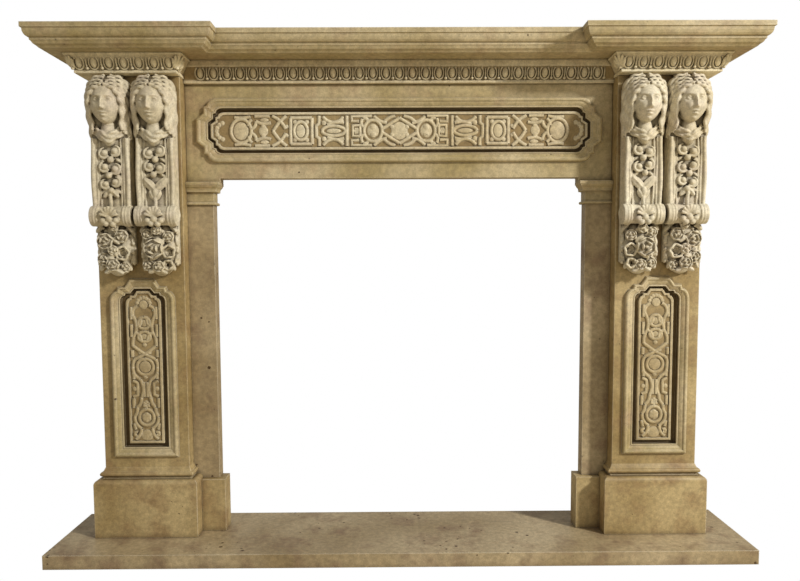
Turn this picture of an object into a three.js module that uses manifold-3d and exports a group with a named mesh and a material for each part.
// A carved stone fireplace surround on a hearth slab: plinths, pilasters with
// panelled shafts, head consoles, jambs with capitals, a lintel with a long
// panel, egg and dart bed mouldings and a breakfront cornice shelf.
// Millimetres, +X right, +Y back towards the wall, +Z up.
// Origin: middle of the underside of the hearth slab.

import * as THREE from "three";
import { mergeVertices } from "three/addons/utils/BufferGeometryUtils.js";
import Module from "manifold-3d";

const wasm = await Module();
wasm.setup();

// Driving dimensions

const GAP = 0.3; // joint between neighbouring stones

// hearth slab
const SLAB_WIDTH = 2000;
const SLAB_DEPTH = 330;
const SLAB_THICKNESS = 40;

// heights of the stones, which stack on the hearth slab
const PLINTH_HEIGHT = 172;
const INNER_PLINTH_HEIGHT = 158;
const IMPOST_HEIGHT = 1046; // top of the jamb capitals, above the slab
const CAPITAL_HEIGHT = 67;
const OPENING_RISE = 11; // head of the fire opening above the impost
const LINTEL_HEIGHT = 283;
const PILASTER_RISE = 12; // pilasters above the lintel
const BED_HEIGHT = 52;
const CORNICE_HEIGHT = 59;

// places of the main faces, measured back from the front of the slab
const PILASTER_SETBACK = 152;
const JAMB_SETBACK = 200;
const BED_BLOCK_SETBACK = 117;
const BED_RUN_SETBACK = 190;
const CORNICE_RUN_SETBACK = 172;

// widths
const PILASTER_INSET = 247.5; // middle of a pilaster, in from the end of the slab
const PILASTER_WIDTH = 249;
const JAMB_WIDTH = 77;
const JAMB_THICKNESS = 42;
const BED_OVERHANG = 33; // block bed moulding past the outer side of the pilaster

// plinth and foot mouldings
const PLINTH_OVERHANG = 27;
const PLINTH_OVOLO = 13;
const INNER_PLINTH_OVERHANG = 21;
const FOOT_TORUS = 13;
const FOOT_TORUS_HEIGHT = 12;
const FOOT_GROOVE = 5;
const FOOT_GROOVE_HEIGHT = 8;
const FOOT_HEIGHT = 33;

// jamb capitals
const ABACUS_OVERHANG = 21;
const ABACUS_HEIGHT = 8;
const NECK_OVERHANG = 2;
const CAPITAL_CYMA_HEIGHT = 14;
const CAPITAL_FILLET_OVERHANG = 11;
const CAPITAL_FILLET_HEIGHT = 8;
const BEAD_OVERHANG = 9;
const BEAD_HEIGHT = 9;

// cornice and bed mouldings
const CORNICE_REACH = 101;
const CORONA_REACH = 67;
const CORNICE_CYMA_HEIGHT = 17;
const CORNICE_FILLET_REACH = 84;
const CORNICE_FILLET_HEIGHT = 6;
const CORNICE_FASCIA = 13;
const CORNICE_STEP = 4;
const BED_BLOCK_REACH = 24;
const BED_RUN_REACH = 15;
const BED_LOWER_FILLET = 10;
const EGG_BAND = 36;
const EGG_PITCH = 39;
const EGG_WIDTH = 23;
const EGG_RELIEF = 9;
const DART_RADIUS = 4.5;

// raised panels on the shafts and on the lintel
const FRAME_RELIEF = 11;
const FRAME_BEVEL = 7;
const FIELD_DEPTH = 13;
const SHAFT_PANEL_MARGIN = 29.5; // bare stone at each side of the panel
const SHAFT_PANEL_FOOT = 65; // bare stone between the plinth and the panel
const SHAFT_PANEL_CLEARANCE = 8; // between the panel and the bouquet above it
const SHAFT_PANEL_END = 67; // length of the shaped end
const SHAFT_FRAME_WIDTH = 29;
const SHAFT_TABLET_GAP = 14.5; // at each side of the tablet
const SHAFT_TABLET_FOOT_GAP = 10;
const SHAFT_TABLET_CROWN_GAP = 7;
const SHAFT_TABLET_STEP = 8; // its shoulder sits this much below the frame's
const LINTEL_PANEL_MARGIN = 30; // bare stone between the panel and the pilaster
const LINTEL_PANEL_FOOT = 45; // bare stone below the panel
const LINTEL_PANEL_HEAD = 40; // bare stone above the panel
const LINTEL_PANEL_END = 63; // length of a shaped end
const LINTEL_FRAME_WIDTH = 28;
const LINTEL_FRAME_END = 35; // width of the frame at the tip of an end
const LINTEL_OPENING_STEP = 16; // shoulder of the opening inside the frame's
const LINTEL_TABLET_GAP = 11;
const LINTEL_TABLET_END_GAP = 7;
const TABLET_STEP = 2; // tablets stand this much behind the wall face
const STRAP_WIDTH = 7;
const STRAP_RELIEF = 5;
const STRAP_MARGIN = 4; // bare edge of a tablet beside its strapwork
const SEAT = 1; // depth by which relief is let into the face behind it

// head consoles, which hang from the top of the pilasters
const CONSOLE_WIDTH = 110;
const SCROLL_WIDTH = 119;
const CONSOLE_SPACING = 125;
const CONSOLE_DEPTH = 52;
const HEAD_DROP = 89; // middle of the head below the top of the pilaster
const HEAD_WIDTH = 90;
const COLLAR_DROP = 110; // lowest fold of the collar below the middle of the head
const SCROLL_DROP = 398; // middle of the scroll below the top of the pilaster
const SCROLL_RADIUS = 29;
const BOUQUET_LENGTH = 171; // lowest leaf below the middle of the scroll
const GARLAND_RISE = 67; // lowest fruit above the middle of the scroll
const GARLAND_SIZE = 19; // radius of its topmost fruit
const PLEAT_RADIUS = 8;
const SCROLL_BAND_WIDTH = 22;
const SCROLL_BAND_RELIEF = 5;
const BACK_PLATE = 18; // thickness of the plate behind the bouquet
const BOUQUET_FOOT = 34; // height of its lowest tip below the back plate

// Places that follow from the sizes above

const FRONT = -SLAB_DEPTH / 2;
const BACK = SLAB_DEPTH / 2;
const PILASTER_FACE = FRONT + PILASTER_SETBACK;
const JAMB_FACE = FRONT + JAMB_SETBACK;
const JAMB_BACK = JAMB_FACE + JAMB_THICKNESS;
const BED_BLOCK_FACE = FRONT + BED_BLOCK_SETBACK;
const BED_RUN_FACE = FRONT + BED_RUN_SETBACK;
const CORNICE_RUN_FACE = FRONT + CORNICE_RUN_SETBACK;
const PILASTER_CENTRE = SLAB_WIDTH / 2 - PILASTER_INSET;
const PILASTER_INNER = PILASTER_CENTRE - PILASTER_WIDTH / 2;
const PILASTER_OUTER = PILASTER_CENTRE + PILASTER_WIDTH / 2;
const OPENING_HALF = PILASTER_INNER - JAMB_WIDTH;
const BED_OUTER_EDGE = PILASTER_OUTER + BED_OVERHANG;
const CORNICE_INNER_EDGE = PILASTER_INNER - BED_BLOCK_REACH;
const PLINTH_INNER = PILASTER_INNER - PLINTH_OVERHANG;
const INNER_PLINTH_EDGE = OPENING_HALF - INNER_PLINTH_OVERHANG;
const CAPITAL_EDGE = OPENING_HALF - ABACUS_OVERHANG;

const CAPITAL_BOTTOM = IMPOST_HEIGHT - CAPITAL_HEIGHT;
const OPENING_HEIGHT = IMPOST_HEIGHT + OPENING_RISE;
const LINTEL_TOP = IMPOST_HEIGHT + LINTEL_HEIGHT;
const PILASTER_TOP = LINTEL_TOP + PILASTER_RISE;
const BED_TOP = PILASTER_TOP + BED_HEIGHT;
const SHELF_TOP = BED_TOP + CORNICE_HEIGHT;

const HEAD_HEIGHT = PILASTER_TOP - HEAD_DROP;
const COLLAR_BOTTOM = HEAD_HEIGHT - COLLAR_DROP;
const SCROLL_HEIGHT = PILASTER_TOP - SCROLL_DROP;
const GARLAND_BOTTOM = SCROLL_HEIGHT + GARLAND_RISE;
const CONSOLE_FOOT = SCROLL_HEIGHT - BOUQUET_LENGTH;

const SHAFT_PANEL_HALF = PILASTER_WIDTH / 2 - SHAFT_PANEL_MARGIN;
const SHAFT_PANEL_BOTTOM = PLINTH_HEIGHT + SHAFT_PANEL_FOOT;
const SHAFT_PANEL_TOP = CONSOLE_FOOT - SHAFT_PANEL_CLEARANCE;
const SHAFT_PANEL_SHOULDER = SHAFT_PANEL_TOP - SHAFT_PANEL_END;
const SHAFT_OPENING_TOP = SHAFT_PANEL_TOP - SHAFT_FRAME_WIDTH;
const LINTEL_PANEL_BOTTOM = OPENING_HEIGHT + LINTEL_PANEL_FOOT;
const LINTEL_PANEL_TOP = LINTEL_TOP - LINTEL_PANEL_HEAD;
const LINTEL_PANEL_HALF = PILASTER_INNER - LINTEL_PANEL_MARGIN;
const LINTEL_PANEL_SHOULDER = LINTEL_PANEL_HALF - LINTEL_PANEL_END;
const LINTEL_OPENING_HALF = LINTEL_PANEL_HALF - LINTEL_FRAME_END;
const LINTEL_OPENING_SHOULDER = LINTEL_PANEL_SHOULDER - LINTEL_OPENING_STEP;
const LINTEL_TABLET_HALF = LINTEL_OPENING_HALF - LINTEL_TABLET_END_GAP;

const above = (height) => SLAB_THICKNESS + height;

// Stone colours

const WARM_STONE = { color: 0xc2a676, roughness: 0.7, metalness: 0 };
const PALE_STONE = { color: 0xdccfa8, roughness: 0.75, metalness: 0 };
const SLAB_STONE = { color: 0xa98f68, roughness: 0.6, metalness: 0 };

// Solid helpers

function solidOf(geometry) {
  const bare = geometry.index ? geometry.toNonIndexed() : geometry.clone();
  bare.deleteAttribute("normal");
  bare.deleteAttribute("uv");
  const merged = mergeVertices(bare, 1e-3);
  return new wasm.Manifold(
    new wasm.Mesh({
      numProp: 3,
      vertProperties: merged.attributes.position.array,
      triVerts: new Uint32Array(merged.index.array),
    }),
  );
}

function geometryOf(solid) {
  const mesh = solid.getMesh();
  const geometry = new THREE.BufferGeometry();
  geometry.setAttribute("position", new THREE.BufferAttribute(mesh.vertProperties, 3));
  geometry.setIndex(new THREE.BufferAttribute(mesh.triVerts, 1));
  geometry.computeVertexNormals();
  return geometry;
}

function joined(solids) {
  return solids.reduce((whole, next) => whole.add(next));
}

function box(x0, x1, y0, y1, z0, z1) {
  const geometry = new THREE.BoxGeometry(x1 - x0, y1 - y0, z1 - z0);
  geometry.translate((x0 + x1) / 2, (y0 + y1) / 2, (z0 + z1) / 2);
  return solidOf(geometry);
}

function ellipsoid(centre, radii, around = 8, down = 6) {
  const geometry = new THREE.SphereGeometry(1, around, down);
  geometry.rotateX(Math.PI / 2);
  geometry.scale(...radii);
  geometry.translate(...centre);
  return solidOf(geometry);
}

// A solid of level outlines one above the other: outlineAt(offset) gives the
// plan, counter-clockwise, and each level is [offset, height].
function stacked(outlineAt, levels) {
  const rings = levels.map(([offset]) => outlineAt(offset));
  const count = rings[0].length;
  const positions = [];
  rings.forEach((ring, k) => {
    ring.forEach(([x, y]) => positions.push(x, y, levels[k][1]));
  });
  const faces = [];
  for (let k = 0; k + 1 < rings.length; k += 1) {
    for (let i = 0; i < count; i += 1) {
      const j = (i + 1) % count;
      const low = k * count;
      const high = low + count;
      faces.push(low + i, low + j, high + j, low + i, high + j, high + i);
    }
  }
  const top = (rings.length - 1) * count;
  const plan = (ring) => ring.map(([x, y]) => new THREE.Vector2(x, y));
  THREE.ShapeUtils.triangulateShape(plan(rings[0]), []).forEach(([a, b, c]) => {
    faces.push(a, c, b);
  });
  THREE.ShapeUtils.triangulateShape(plan(rings.at(-1)), []).forEach(([a, b, c]) => {
    faces.push(top + a, top + b, top + c);
  });
  const geometry = new THREE.BufferGeometry();
  geometry.setAttribute("position", new THREE.Float32BufferAttribute(positions, 3));
  geometry.setIndex(faces);
  return solidOf(geometry);
}

// Plan of a block whose mouldings run along its front and the chosen sides.
function blockPlan(x0, x1, front, back, left = 1, right = 1) {
  return (offset) => [
    [x0 - offset * left, front - offset],
    [x1 + offset * right, front - offset],
    [x1 + offset * right, back],
    [x0 - offset * left, back],
  ];
}

// Levels of an ovolo that swells from one offset to another as it rises.
function ovolo(fromOffset, fromHeight, toOffset, toHeight, steps = 4) {
  const levels = [];
  for (let k = 0; k <= steps; k += 1) {
    const turn = (k / steps) * (Math.PI / 2);
    const offset = fromOffset + (toOffset - fromOffset) * Math.sin(turn);
    const height = fromHeight + (toHeight - fromHeight) * (1 - Math.cos(turn));
    levels.push([offset, height]);
  }
  return levels;
}

const mirrorX = (solid) => solid.mirror([1, 0, 0]);

// Plinths and slab

function hearthSlab() {
  return box(-SLAB_WIDTH / 2, SLAB_WIDTH / 2, FRONT, BACK, 0, SLAB_THICKNESS);
}

function plinth(clearance = 0) {
  const top = above(PLINTH_HEIGHT) + clearance;
  const ovoloStart = top - PLINTH_OVOLO;
  const plan = blockPlan(PILASTER_INNER, PILASTER_OUTER, PILASTER_FACE, BACK);
  const lip = PLINTH_OVERHANG - PLINTH_OVOLO;
  const levels = [[PLINTH_OVERHANG + clearance, above(GAP)]];
  for (let k = 0; k <= 4; k += 1) {
    const turn = (k / 4) * (Math.PI / 2);
    const offset = lip + PLINTH_OVOLO * Math.cos(turn) + clearance;
    levels.push([offset, ovoloStart + PLINTH_OVOLO * Math.sin(turn)]);
  }
  return stacked(plan, levels);
}

function innerPlinth() {
  const front = JAMB_FACE - INNER_PLINTH_OVERHANG;
  const back = JAMB_BACK + GAP;
  return box(
    INNER_PLINTH_EDGE,
    PLINTH_INNER - GAP,
    front,
    back,
    above(GAP),
    above(INNER_PLINTH_HEIGHT),
  );
}

// Pilaster shafts

function shaftBody(clearance = 0) {
  const foot = above(PLINTH_HEIGHT + GAP);
  const torusBottom = foot + FOOT_GROOVE_HEIGHT;
  const torusTop = torusBottom + FOOT_TORUS_HEIGHT;
  const flareTop = foot + FOOT_HEIGHT;
  const plan = blockPlan(PILASTER_INNER, PILASTER_OUTER, PILASTER_FACE, BACK);
  const profile = [
    [FOOT_GROOVE * 1.6, foot],
    [FOOT_GROOVE, foot + FOOT_GROOVE_HEIGHT * 0.4],
    [FOOT_GROOVE, torusBottom],
    [FOOT_TORUS * 0.85, torusBottom + FOOT_TORUS_HEIGHT * 0.1],
    [FOOT_TORUS, torusBottom + FOOT_TORUS_HEIGHT * 0.4],
    [FOOT_TORUS * 0.92, torusBottom + FOOT_TORUS_HEIGHT * 0.8],
    [FOOT_TORUS * 0.6, torusTop],
    [FOOT_TORUS * 0.25, (torusTop + flareTop) / 2],
    [0, flareTop],
    [0, above(PILASTER_TOP)],
  ];
  const levels = profile.map(([offset, height]) => [offset + clearance, height]);
  return stacked(plan, levels);
}

// Outline of a panel end: a flat crown, a notch, a shoulder lobe and a quarter
// round, in shares of the panel's half width and of the end's length.
function endPoints(half, shoulder, tip) {
  const reach = tip - shoulder;
  const points = [];
  for (let k = 0; k <= 4; k += 1) {
    const turn = (k / 4) * (Math.PI / 2);
    points.push([half * (0.78 + 0.22 * Math.cos(turn)), shoulder + 0.47 * reach * Math.sin(turn)]);
  }
  points.push([half * 0.74, shoulder + 0.65 * reach]);
  points.push([half * 0.53, shoulder + 0.65 * reach]);
  points.push([half * 0.49, shoulder + 0.74 * reach]);
  points.push([half * 0.36, tip]);
  return points;
}

// Upright panel with one shaped end: across, along.
function shaftPanelShape(half, bottom, shoulder, top) {
  const right = [[half, bottom], ...endPoints(half, shoulder, top)];
  const left = right.map(([x, z]) => [-x, z]).reverse();
  return [...right, ...left];
}

// Long panel with both ends shaped: along, across.
function lintelPanelShape(halfHeight, shoulder, tip) {
  const right = endPoints(halfHeight, shoulder, tip).map(([v, u]) => [u, -v]);
  const upper = right.map(([u, v]) => [u, -v]).reverse();
  const left = upper.map(([u, v]) => [-u, v]).reverse();
  const lower = right.map(([u, v]) => [-u, v]).reverse();
  return [...right, ...upper, ...left, ...lower];
}

// A flat shape given as [x, z] points, standing out of a face towards the front.
function plate(points, holes, faceY, relief, sink = 0, bevel = 0) {
  const shape = new THREE.Shape(points.map(([x, z]) => new THREE.Vector2(x, z)));
  holes.forEach((hole) => {
    shape.holes.push(new THREE.Path(hole.map(([x, z]) => new THREE.Vector2(x, z))));
  });
  const geometry = new THREE.ExtrudeGeometry(shape, {
    depth: relief + sink - bevel,
    bevelEnabled: bevel > 0,
    bevelSize: bevel,
    bevelOffset: -bevel,
    bevelThickness: bevel,
    bevelSegments: 1,
  });
  geometry.rotateX(Math.PI / 2);
  geometry.translate(0, faceY + sink, 0);
  return solidOf(geometry);
}

// Strapwork relief, drawn on [u, v] with u along the tablet

function strapBar(from, to, width = STRAP_WIDTH) {
  const [x0, y0] = from;
  const [x1, y1] = to;
  const length = Math.hypot(x1 - x0, y1 - y0);
  const dx = ((x1 - x0) / length) * (width / 2);
  const dy = ((y1 - y0) / length) * (width / 2);
  return {
    points: [
      [x0 - dx + dy, y0 - dy - dx],
      [x1 + dx + dy, y1 + dy - dx],
      [x1 + dx - dy, y1 + dy + dx],
      [x0 - dx - dy, y0 - dy + dx],
    ],
    holes: [],
  };
}

function ovalPoints(centre, radii, sides) {
  const points = [];
  for (let k = 0; k < sides; k += 1) {
    const turn = (k / sides) * Math.PI * 2;
    points.push([centre[0] + radii[0] * Math.cos(turn), centre[1] + radii[1] * Math.sin(turn)]);
  }
  return points;
}

function strapRing(centre, radii, sides = 8) {
  const inside = radii.map((radius) => radius - STRAP_WIDTH);
  return {
    points: ovalPoints(centre, radii, sides),
    holes: [ovalPoints(centre, inside, sides)],
  };
}

function disc(centre, radii, sides = 8) {
  return { points: ovalPoints(centre, radii, sides), holes: [] };
}

// One repeat of the strapwork: a ring with a boss, a lozenge or a square block,
// and a crossed knot that ties it to the next.
function strapMotif(kind, u, length, half) {
  const edge = half - STRAP_WIDTH / 2;
  const pieces = [
    strapBar([u - length * 0.46, -edge], [u - length * 0.2, edge]),
    strapBar([u - length * 0.46, edge], [u - length * 0.2, -edge]),
  ];
  const middle = [u + length * 0.16, 0];
  if (kind === 0) {
    pieces.push(strapRing(middle, [length * 0.27, half * 0.85]));
    pieces.push(disc(middle, [length * 0.09, length * 0.09], 4));
  } else if (kind === 1) {
    pieces.push(strapRing(middle, [length * 0.3, half * 0.95], 4));
  } else {
    pieces.push(disc(middle, [length * 0.26, half * 0.7], 4));
  }
  return pieces;
}

function strapwork(from, to, half, repeats) {
  const length = (to - from) / repeats;
  const pieces = [];
  for (let k = 0; k < repeats; k += 1) {
    pieces.push(...strapMotif(k % 3, from + length * (k + 0.5), length, half));
  }
  return pieces;
}

// Shell that fills the end of a tablet: ribs that spread from its base.
function shellRibs(base, tip, half) {
  const ribs = [];
  for (let k = -1; k <= 1; k += 1) {
    const turn = k * 0.9;
    const reach = (tip - base) * (1 - 0.2 * Math.abs(k)) - STRAP_WIDTH / 2;
    const across = Math.sin(turn) * Math.min(half * 0.6, reach);
    ribs.push(strapBar([base, across * 0.25], [base + Math.cos(turn) * reach, across]));
  }
  return ribs;
}

function pilasterShaft() {
  const half = SHAFT_PANEL_HALF;
  const inner = half - SHAFT_FRAME_WIDTH;
  const tabletHalf = inner - SHAFT_TABLET_GAP;
  const bottom = above(SHAFT_PANEL_BOTTOM);
  const shoulder = above(SHAFT_PANEL_SHOULDER);
  const openingBottom = bottom + SHAFT_FRAME_WIDTH;
  const opening = shaftPanelShape(inner, openingBottom, shoulder, above(SHAFT_OPENING_TOP));
  const outer = shaftPanelShape(half, bottom, shoulder, above(SHAFT_PANEL_TOP));
  const tabletBottom = openingBottom + SHAFT_TABLET_FOOT_GAP;
  const tabletTop = above(SHAFT_OPENING_TOP - SHAFT_TABLET_CROWN_GAP);
  const tabletShoulder = shoulder - SHAFT_TABLET_STEP;
  const tablet = shaftPanelShape(tabletHalf, tabletBottom, tabletShoulder, tabletTop);
  const place = (points) => points.map(([x, z]) => [x + PILASTER_CENTRE, z]);
  const frame = plate(place(outer), [], PILASTER_FACE, FRAME_RELIEF, SEAT, FRAME_BEVEL);
  const hollow = plate(place(opening), [], PILASTER_FACE, FRAME_RELIEF + SEAT, FIELD_DEPTH);
  const tabletFace = PILASTER_FACE + TABLET_STEP;
  const tabletSolid = plate(place(tablet), [], tabletFace, 0, FIELD_DEPTH);
  const straps = [
    ...strapwork(tabletBottom + STRAP_MARGIN, tabletShoulder, tabletHalf - STRAP_MARGIN, 4),
    ...shellRibs(tabletShoulder, tabletTop - STRAP_MARGIN, tabletHalf * 0.6),
  ];
  const relief = straps.map(({ points, holes }) => {
    const turned = (list) => list.map(([u, v]) => [PILASTER_CENTRE - v, u]);
    return plate(turned(points), holes.map(turned), tabletFace, STRAP_RELIEF, SEAT);
  });
  const carved = joined([shaftBody(), frame]).subtract(hollow);
  return joined([carved, tabletSolid, ...relief]);
}

// Jambs and their capitals

function capitalLevels() {
  const bottom = above(CAPITAL_BOTTOM);
  const top = above(IMPOST_HEIGHT) - GAP;
  const abacus = top - ABACUS_HEIGHT;
  const cyma = abacus - CAPITAL_CYMA_HEIGHT;
  const fillet = cyma - CAPITAL_FILLET_HEIGHT;
  const swell = ABACUS_OVERHANG - CAPITAL_FILLET_OVERHANG;
  return [
    [0, bottom],
    [BEAD_OVERHANG * 0.8, bottom + BEAD_HEIGHT * 0.1],
    [BEAD_OVERHANG, bottom + BEAD_HEIGHT / 2],
    [BEAD_OVERHANG * 0.8, bottom + BEAD_HEIGHT * 0.9],
    [NECK_OVERHANG, bottom + BEAD_HEIGHT],
    [NECK_OVERHANG, fillet],
    [CAPITAL_FILLET_OVERHANG, fillet + CAPITAL_FILLET_HEIGHT * 0.25],
    [CAPITAL_FILLET_OVERHANG, cyma],
    [CAPITAL_FILLET_OVERHANG + swell * 0.2, cyma + CAPITAL_CYMA_HEIGHT * 0.3],
    [CAPITAL_FILLET_OVERHANG + swell * 0.6, cyma + CAPITAL_CYMA_HEIGHT * 0.58],
    [CAPITAL_FILLET_OVERHANG + swell * 0.8, cyma + CAPITAL_CYMA_HEIGHT * 0.9],
    [ABACUS_OVERHANG, abacus],
    [ABACUS_OVERHANG, top],
  ];
}

function jambCapital() {
  const plan = blockPlan(OPENING_HALF, PILASTER_INNER - GAP, JAMB_FACE, JAMB_BACK, 1, 0);
  return stacked(plan, capitalLevels());
}

function jamb() {
  const bottom = above(INNER_PLINTH_HEIGHT + GAP);
  const top = above(CAPITAL_BOTTOM - GAP);
  const block = box(OPENING_HALF, PILASTER_INNER - GAP, JAMB_FACE, JAMB_BACK, bottom, top);
  return block.subtract(plinth(GAP)).subtract(shaftBody(GAP));
}

// Lintel with its long panel

function lintel() {
  const edge = PILASTER_INNER - GAP;
  const top = above(LINTEL_TOP) - GAP;
  const middle = above((LINTEL_PANEL_BOTTOM + LINTEL_PANEL_TOP) / 2);
  const halfHeight = (LINTEL_PANEL_TOP - LINTEL_PANEL_BOTTOM) / 2;
  const innerHalf = halfHeight - LINTEL_FRAME_WIDTH;
  const tabletHalf = innerHalf - LINTEL_TABLET_GAP;
  const raise = (points) => points.map(([x, z]) => [x, z + middle]);
  const outer = lintelPanelShape(halfHeight, LINTEL_PANEL_SHOULDER, LINTEL_PANEL_HALF);
  const opening = lintelPanelShape(innerHalf, LINTEL_OPENING_SHOULDER, LINTEL_OPENING_HALF);
  const end = LINTEL_OPENING_SHOULDER - STRAP_MARGIN;
  const tablet = lintelPanelShape(tabletHalf, end, LINTEL_TABLET_HALF);
  const slab = joined([
    box(-edge, edge, JAMB_FACE, JAMB_BACK, above(OPENING_HEIGHT), top),
    box(-edge, -CAPITAL_EDGE, JAMB_FACE, JAMB_BACK, above(IMPOST_HEIGHT), top),
    box(CAPITAL_EDGE, edge, JAMB_FACE, JAMB_BACK, above(IMPOST_HEIGHT), top),
  ]);
  const frame = plate(raise(outer), [], JAMB_FACE, FRAME_RELIEF, SEAT, FRAME_BEVEL);
  const hollow = plate(raise(opening), [], JAMB_FACE, FRAME_RELIEF + SEAT, FIELD_DEPTH);
  const tabletFace = JAMB_FACE + TABLET_STEP;
  const tabletSolid = plate(raise(tablet), [], tabletFace, 0, FIELD_DEPTH);
  const mirrored = (list) => list.map(([u, v]) => [-u, v]).reverse();
  const ribs = shellRibs(end, LINTEL_TABLET_HALF - STRAP_MARGIN, tabletHalf * 0.6);
  const straps = [
    ...strapwork(STRAP_MARGIN - end, end - STRAP_MARGIN, tabletHalf - STRAP_MARGIN, 9),
    ...ribs,
    ...ribs.map(({ points }) => ({ points: mirrored(points), holes: [] })),
  ];
  const relief = straps.map(({ points, holes }) =>
    plate(raise(points), holes.map(raise), tabletFace, STRAP_RELIEF, SEAT),
  );
  return joined([joined([slab, frame]).subtract(hollow), tabletSolid, ...relief]);
}

// Egg and dart

// One egg with a dart beside it, leaning with the band: local x runs along the
// moulding, local y points into the stone.
function eggAndDart(lean) {
  const height = EGG_BAND * 0.88;
  const middle = EGG_BAND * 0.54;
  const egg = ellipsoid([0, 0, middle], [EGG_WIDTH / 2, EGG_RELIEF, height / 2], 6, 3);
  const dart = new THREE.ConeGeometry(DART_RADIUS, height, 3);
  dart.rotateX(-Math.PI / 2);
  dart.translate(EGG_PITCH / 2, SEAT, EGG_BAND / 2);
  return joined([egg, solidOf(dart)]).rotate([lean, 0, 0]);
}

// Eggs along a straight run, from x0 to x1 on the face at y, facing the front.
function eggRun(x0, x1, faceY, z0, reach) {
  const count = Math.max(1, Math.round((x1 - x0) / EGG_PITCH));
  const pitch = (x1 - x0) / count;
  const lean = (Math.atan2(reach * 0.75, EGG_BAND) * 180) / Math.PI;
  const unit = eggAndDart(lean);
  const eggs = [];
  for (let k = 0; k < count; k += 1) {
    eggs.push(unit.translate([x0 + pitch * (k + 0.5), faceY, z0]));
  }
  return eggs;
}

// Levels of a bed moulding: lower fillet, leaning egg band, upper fillet.
function bedLevels(bottom, top, reach, cover) {
  const lowerTop = bottom + BED_LOWER_FILLET;
  const bandTop = lowerTop + EGG_BAND;
  return [
    [cover, bottom],
    [cover + SEAT * 2, lowerTop],
    [cover, lowerTop + SEAT],
    [cover + reach - SEAT * 2, bandTop],
    [cover + reach, bandTop + SEAT],
    [cover + reach, top],
  ];
}

function bedBlockBody(cover = 0) {
  const plan = blockPlan(PILASTER_INNER, BED_OUTER_EDGE, BED_BLOCK_FACE, BACK);
  const levels = bedLevels(above(PILASTER_TOP + GAP), above(BED_TOP), BED_BLOCK_REACH, cover);
  levels[0][1] -= cover;
  return stacked(plan, levels);
}

function bedBlock() {
  const z0 = above(PILASTER_TOP + GAP) + BED_LOWER_FILLET;
  const reach = BED_BLOCK_REACH;
  const spread = DART_RADIUS;
  const front = eggRun(PILASTER_INNER - spread, BED_OUTER_EDGE + spread, BED_BLOCK_FACE, z0, reach);
  const outerRun = eggRun(BED_BLOCK_FACE + spread, BACK - spread * 2, 0, z0, reach);
  const outer = outerRun.map((egg) => egg.rotate([0, 0, 90]).translate([BED_OUTER_EDGE, 0, 0]));
  const innerEnd = BED_RUN_FACE - BED_RUN_REACH - EGG_RELIEF - EGG_PITCH / 2;
  const innerRun = eggRun(-innerEnd, -BED_BLOCK_FACE - spread, 0, z0, reach);
  const inner = innerRun.map((egg) => egg.rotate([0, 0, -90]).translate([PILASTER_INNER, 0, 0]));
  return joined([bedBlockBody(), ...front, ...outer, ...inner]);
}

function bedRun() {
  const edge = PILASTER_INNER - GAP;
  const plan = blockPlan(-edge, edge, BED_RUN_FACE, JAMB_BACK, 0, 0);
  const bottom = above(LINTEL_TOP);
  const body = stacked(plan, bedLevels(bottom, above(BED_TOP), BED_RUN_REACH, 0));
  const z0 = bottom + BED_LOWER_FILLET;
  const half = PILASTER_INNER - BED_BLOCK_REACH - EGG_RELIEF - EGG_WIDTH / 2;
  const eggs = eggRun(-half, half, BED_RUN_FACE, z0, BED_RUN_REACH);
  const clear = bedBlockBody(GAP);
  const stops = joined([clear, mirrorX(clear)]);
  return joined([body, ...eggs]).subtract(stops);
}

// Cornice shelf, one stone that breaks forward over each pilaster

function corniceShelf() {
  const plan = (offset) => [
    [-BED_OUTER_EDGE - offset, BED_BLOCK_FACE - offset],
    [-CORNICE_INNER_EDGE + offset, BED_BLOCK_FACE - offset],
    [-CORNICE_INNER_EDGE + offset, CORNICE_RUN_FACE - offset],
    [CORNICE_INNER_EDGE - offset, CORNICE_RUN_FACE - offset],
    [CORNICE_INNER_EDGE - offset, BED_BLOCK_FACE - offset],
    [BED_OUTER_EDGE + offset, BED_BLOCK_FACE - offset],
    [BED_OUTER_EDGE + offset, BACK],
    [-BED_OUTER_EDGE - offset, BACK],
  ];
  const bottom = above(BED_TOP) + GAP;
  const cymaReach = CORNICE_FILLET_REACH - CORONA_REACH;
  const filletBottom = bottom + CORNICE_CYMA_HEIGHT;
  const filletTop = filletBottom + CORNICE_FILLET_HEIGHT;
  const fascia = above(SHELF_TOP - CORNICE_FASCIA);
  const ovoloStart = CORNICE_FILLET_REACH + CORNICE_STEP / 2;
  const ovoloReach = CORNICE_REACH - CORNICE_STEP;
  const levels = [
    [CORONA_REACH, bottom],
    [CORONA_REACH + cymaReach * 0.24, bottom + CORNICE_CYMA_HEIGHT * 0.24],
    [CORONA_REACH + cymaReach * 0.6, bottom + CORNICE_CYMA_HEIGHT * 0.47],
    [CORONA_REACH + cymaReach * 0.82, bottom + CORNICE_CYMA_HEIGHT * 0.82],
    [CORNICE_FILLET_REACH, filletBottom],
    [CORNICE_FILLET_REACH, filletTop],
    ...ovolo(ovoloStart, filletTop + GAP, ovoloReach, fascia - CORNICE_STEP / 2),
    [CORNICE_REACH, fascia],
    [CORNICE_REACH, above(SHELF_TOP)],
  ];
  return stacked(plan, levels);
}

// Head consoles: local x across, y towards the front, z above the slab

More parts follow.
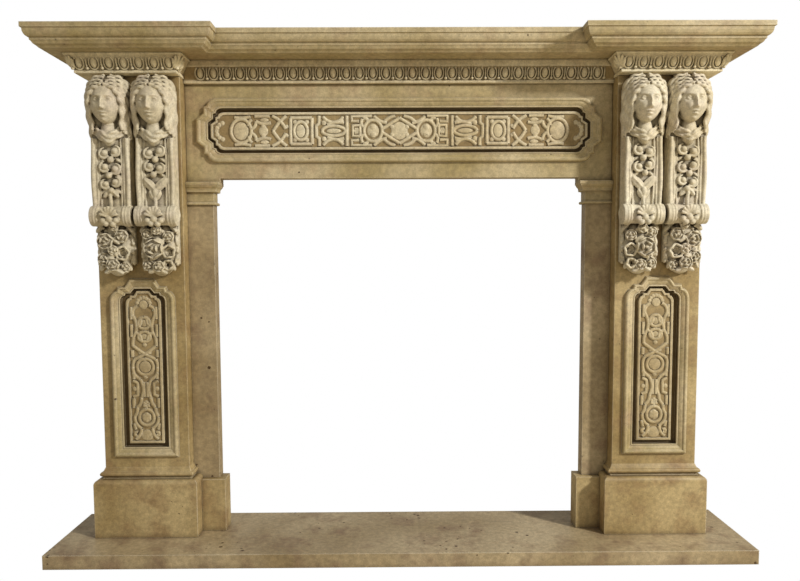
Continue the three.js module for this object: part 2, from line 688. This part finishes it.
function consoleBody() {
  const half = CONSOLE_WIDTH / 2;
  const pieces = [box(-half, half, -CONSOLE_DEPTH, 0, SCROLL_HEIGHT, PILASTER_TOP)];
  const pleatX = half - PLEAT_RADIUS;
  const pleatLength = COLLAR_BOTTOM - SCROLL_HEIGHT;
  for (const x of [-pleatX, pleatX]) {
    const pleat = new THREE.CylinderGeometry(PLEAT_RADIUS * 0.9, PLEAT_RADIUS, pleatLength, 4);
    pleat.rotateX(Math.PI / 2);
    pleat.translate(x, -CONSOLE_DEPTH, SCROLL_HEIGHT + pleatLength / 2);
    pieces.push(solidOf(pleat));
  }
  return pieces;
}

function consoleScroll() {
  const y = SCROLL_RADIUS * 0.4 - CONSOLE_DEPTH;
  const roll = (radius, width) => {
    const geometry = new THREE.CylinderGeometry(radius, radius, width, 8);
    geometry.rotateZ(Math.PI / 2);
    geometry.translate(0, y, SCROLL_HEIGHT);
    return solidOf(geometry);
  };
  return [
    roll(SCROLL_RADIUS, SCROLL_WIDTH),
    roll(SCROLL_RADIUS + SCROLL_BAND_RELIEF, SCROLL_BAND_WIDTH),
  ];
}

// Head with its hair and veil, in shares of half its width.
function consoleHead() {
  const half = HEAD_WIDTH / 2;
  const y = -CONSOLE_DEPTH - half * 0.38;
  const pieces = [
    ellipsoid([0, y, HEAD_HEIGHT - half * 0.19], [half * 0.86, half * 0.86, half * 1.3], 8, 5),
    ellipsoid([0, y + half / 3, HEAD_HEIGHT + half / 3], [half * 1.25, half, half * 1.36], 6, 4),
  ];
  const neck = new THREE.CylinderGeometry(half * 0.5, half * 0.6, half * 1.4, 5);
  neck.rotateX(Math.PI / 2);
  neck.translate(0, y + half * 0.43, HEAD_HEIGHT - half * 1.6);
  const nose = new THREE.ConeGeometry(half * 0.14, half * 0.57, 4);
  nose.rotateX(Math.PI / 2);
  nose.translate(0, y - half * 0.84, HEAD_HEIGHT - half * 0.29);
  pieces.push(solidOf(neck), solidOf(nose));
  for (const side of [-1, 1]) {
    const lock = [half * 0.4, half * 0.38, half * 0.48];
    const veil = [half * 0.29, half * 0.43, half * 1.24];
    pieces.push(
      ellipsoid([side * half * 0.55, y - half * 0.24, HEAD_HEIGHT + half * 1.05], lock, 4, 3),
      ellipsoid([side * half * 0.94, y - half * 0.05, HEAD_HEIGHT + half * 0.35], lock, 4, 3),
      ellipsoid([side * half, y + half * 0.48, HEAD_HEIGHT - half * 1.24], veil, 4, 3),
    );
  }
  return pieces;
}

// Draped collar: two folds that hang in a V below the chin.
function consoleCollar() {
  const half = HEAD_WIDTH / 2;
  return [-1, 1].map((side) => {
    const fold = new THREE.CapsuleGeometry(half * 0.31, half * 0.95, 1, 4);
    fold.rotateZ(side * -0.85);
    fold.rotateX(Math.PI / 2);
    fold.translate(side * half * 0.55, -CONSOLE_DEPTH - half * 0.29, COLLAR_BOTTOM + half * 0.81);
    return solidOf(fold);
  });
}

// Fruit garland that hangs down the middle and narrows to a stem.
function consoleGarland() {
  const rows = 6;
  const top = COLLAR_BOTTOM - GARLAND_SIZE / 3;
  const fall = (top - GARLAND_BOTTOM) / (rows - 1);
  const pieces = [];
  for (let row = 0; row < rows; row += 1) {
    const size = GARLAND_SIZE * (1 - 0.074 * row);
    const side = row % 2 === 0 ? 1 : -1;
    const centre = [side * GARLAND_SIZE * 0.37, -CONSOLE_DEPTH - SEAT * 3, top - fall * row];
    pieces.push(ellipsoid(centre, [size, size * 0.9, size * 0.9], 4, 3));
  }
  const length = top - SCROLL_HEIGHT;
  const stem = new THREE.CylinderGeometry(GARLAND_SIZE / 2, GARLAND_SIZE / 3, length, 4);
  stem.rotateX(Math.PI / 2);
  stem.translate(0, -CONSOLE_DEPTH, SCROLL_HEIGHT + length / 2);
  pieces.push(solidOf(stem));
  return pieces;
}

// Bouquet of leaves, roses and fruit under the scroll, with a rounded foot.
function consoleBouquet() {
  const top = SCROLL_HEIGHT - SCROLL_RADIUS;
  const reach = (top - CONSOLE_FOOT) / 2;
  const middle = CONSOLE_FOOT + reach * 1.2;
  const halfWidth = CONSOLE_WIDTH * 0.47;
  const radii = [halfWidth, CONSOLE_DEPTH * 0.72, reach * 1.06];
  const plateHalf = halfWidth * 1.08;
  const plateFoot = CONSOLE_FOOT + BOUQUET_FOOT;
  const rootDepth = CONSOLE_DEPTH * 0.85;
  const pieces = [
    ellipsoid([0, -CONSOLE_DEPTH * 0.4, middle], radii, 6, 4),
    box(-halfWidth * 0.9, halfWidth * 0.9, -rootDepth, 0, middle + reach * 0.3, SCROLL_HEIGHT),
    box(-plateHalf, plateHalf, -BACK_PLATE, 0, plateFoot, SCROLL_HEIGHT),
  ];
  const flower = [halfWidth * 0.44, CONSOLE_DEPTH * 0.35, halfWidth * 0.46];
  const rows = [
    { count: 3, spread: 0.69, rise: 0.5 },
    { count: 2, spread: 0.53, rise: -0.05 },
    { count: 2, spread: 0.34, rise: -0.58 },
  ];
  rows.forEach(({ count, spread, rise }) => {
    for (let k = 0; k < count; k += 1) {
      const share = spread * ((2 * k) / (count - 1) - 1);
      const y = -CONSOLE_DEPTH * (1.02 - 0.3 * Math.abs(share));
      pieces.push(ellipsoid([halfWidth * share, y, middle + radii[2] * rise], flower, 4, 3));
    }
  });
  return pieces;
}

function headConsole(centreX) {
  const pieces = [
    ...consoleBody(),
    ...consoleScroll(),
    ...consoleHead(),
    ...consoleCollar(),
    ...consoleGarland(),
    ...consoleBouquet(),
  ];
  const raised = joined(pieces).translate([centreX, PILASTER_FACE - GAP, above(0)]);
  const half = CONSOLE_SPACING / 2 - GAP;
  const limits = box(
    centreX - half,
    centreX + half,
    FRONT,
    PILASTER_FACE - GAP,
    above(CONSOLE_FOOT),
    above(PILASTER_TOP),
  );
  return raised.intersect(limits);
}

// Assembly

const mantel = new THREE.Group();

function addStone(name, solid, stone) {
  const mesh = new THREE.Mesh(geometryOf(solid), new THREE.MeshStandardMaterial(stone));
  mesh.name = name;
  mantel.add(mesh);
}

function addPair(name, solid, stone) {
  addStone("right_" + name, solid, stone);
  addStone("left_" + name, mirrorX(solid), stone);
}

addStone("hearth_slab", hearthSlab(), SLAB_STONE);
addPair("plinth", plinth(), WARM_STONE);
addPair("inner_plinth", innerPlinth(), WARM_STONE);
addPair("pilaster", pilasterShaft(), WARM_STONE);
addPair("jamb", jamb(), WARM_STONE);
addPair("jamb_capital", jambCapital(), WARM_STONE);
addStone("lintel", lintel(), WARM_STONE);
addPair("inner_console", headConsole(PILASTER_CENTRE - CONSOLE_SPACING / 2), PALE_STONE);
addPair("outer_console", headConsole(PILASTER_CENTRE + CONSOLE_SPACING / 2), PALE_STONE);
addPair("bed_moulding", bedBlock(), WARM_STONE);
addStone("centre_bed_moulding", bedRun(), WARM_STONE);
addStone("cornice_shelf", corniceShelf(), WARM_STONE);

export default mantel;
